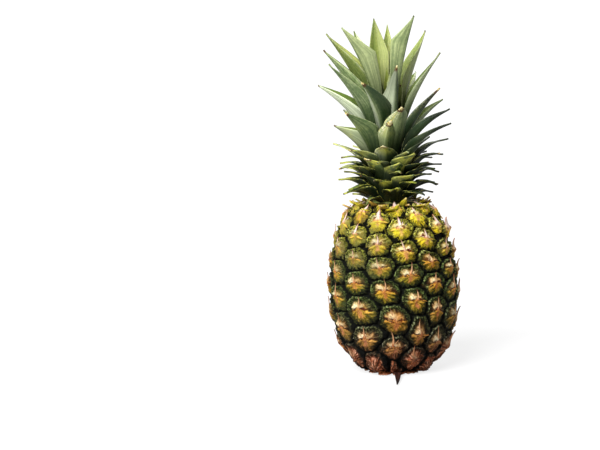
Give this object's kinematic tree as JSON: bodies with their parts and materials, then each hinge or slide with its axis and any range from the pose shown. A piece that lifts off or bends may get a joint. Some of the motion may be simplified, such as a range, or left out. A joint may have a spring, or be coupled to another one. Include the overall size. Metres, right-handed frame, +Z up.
{
  "type": "pineapple",
  "caption": "Whole fresh pineapple standing on its base, its skin set with spirals of eyes, with an upright leafy crown.",
  "frame": {"origin": "middle of the flat base that the fruit stands on", "axes": "+Z up along the fruit towards the crown, -Y towards the front, +X to the right seen from the front"},
  "size_m": [0.1249, 0.1405, 0.3361],
  "materials": {
    "fruit_skin": "waxy olive-green eyes with yellow and tan bracts and dark seams",
    "cut_stalk": "dry fibrous cut end",
    "dry_bract": "dry brown papery bract",
    "crown_stem": "pale green fibrous stem",
    "crown_leaf": "waxy green leaf with a grey bloom and fine lengthwise lines"
  },
  "bodies": {
    "root": {"fruit_body": "fruit_skin", "fruit_stalk": "cut_stalk", "foot_bract": "dry_bract", "crown_stem": "crown_stem", "crown_leaf_01": "crown_leaf", "crown_leaf_02": "crown_leaf", "crown_leaf_03": "crown_leaf", "crown_leaf_04": "crown_leaf", "crown_leaf_05": "crown_leaf", "crown_leaf_06": "crown_leaf", "crown_leaf_07": "crown_leaf", "crown_leaf_08": "crown_leaf", "crown_leaf_09": "crown_leaf", "crown_leaf_10": "crown_leaf", "crown_leaf_11": "crown_leaf", "crown_leaf_12": "crown_leaf", "crown_leaf_13": "crown_leaf", "crown_leaf_14": "crown_leaf", "crown_leaf_15": "crown_leaf", "crown_leaf_16": "crown_leaf", "crown_leaf_17": "crown_leaf", "crown_leaf_18": "crown_leaf", "crown_leaf_19": "crown_leaf", "crown_leaf_20": "crown_leaf", "crown_leaf_21": "crown_leaf", "crown_leaf_22": "crown_leaf", "crown_leaf_23": "crown_leaf", "crown_leaf_24": "crown_leaf", "crown_leaf_25": "crown_leaf", "crown_leaf_26": "crown_leaf", "crown_leaf_27": "crown_leaf", "crown_leaf_28": "crown_leaf", "crown_leaf_29": "crown_leaf", "crown_leaf_30": "crown_leaf", "crown_leaf_31": "crown_leaf", "crown_leaf_32": "crown_leaf", "crown_leaf_33": "crown_leaf", "crown_leaf_34": "crown_leaf", "crown_leaf_35": "crown_leaf", "crown_leaf_36": "crown_leaf", "crown_leaf_37": "crown_leaf", "crown_leaf_38": "crown_leaf", "crown_leaf_39": "crown_leaf", "crown_leaf_40": "crown_leaf", "crown_leaf_41": "crown_leaf", "crown_leaf_42": "crown_leaf", "crown_leaf_43": "crown_leaf", "crown_leaf_44": "crown_leaf", "crown_leaf_45": "crown_leaf", "crown_leaf_46": "crown_leaf", "crown_leaf_47": "crown_leaf", "crown_leaf_48": "crown_leaf", "crown_leaf_49": "crown_leaf", "crown_leaf_50": "crown_leaf", "crown_leaf_51": "crown_leaf", "crown_leaf_52": "crown_leaf", "crown_leaf_53": "crown_leaf", "crown_leaf_54": "crown_leaf", "crown_leaf_55": "crown_leaf", "crown_leaf_56": "crown_leaf"}
  },
  "joints": []
}
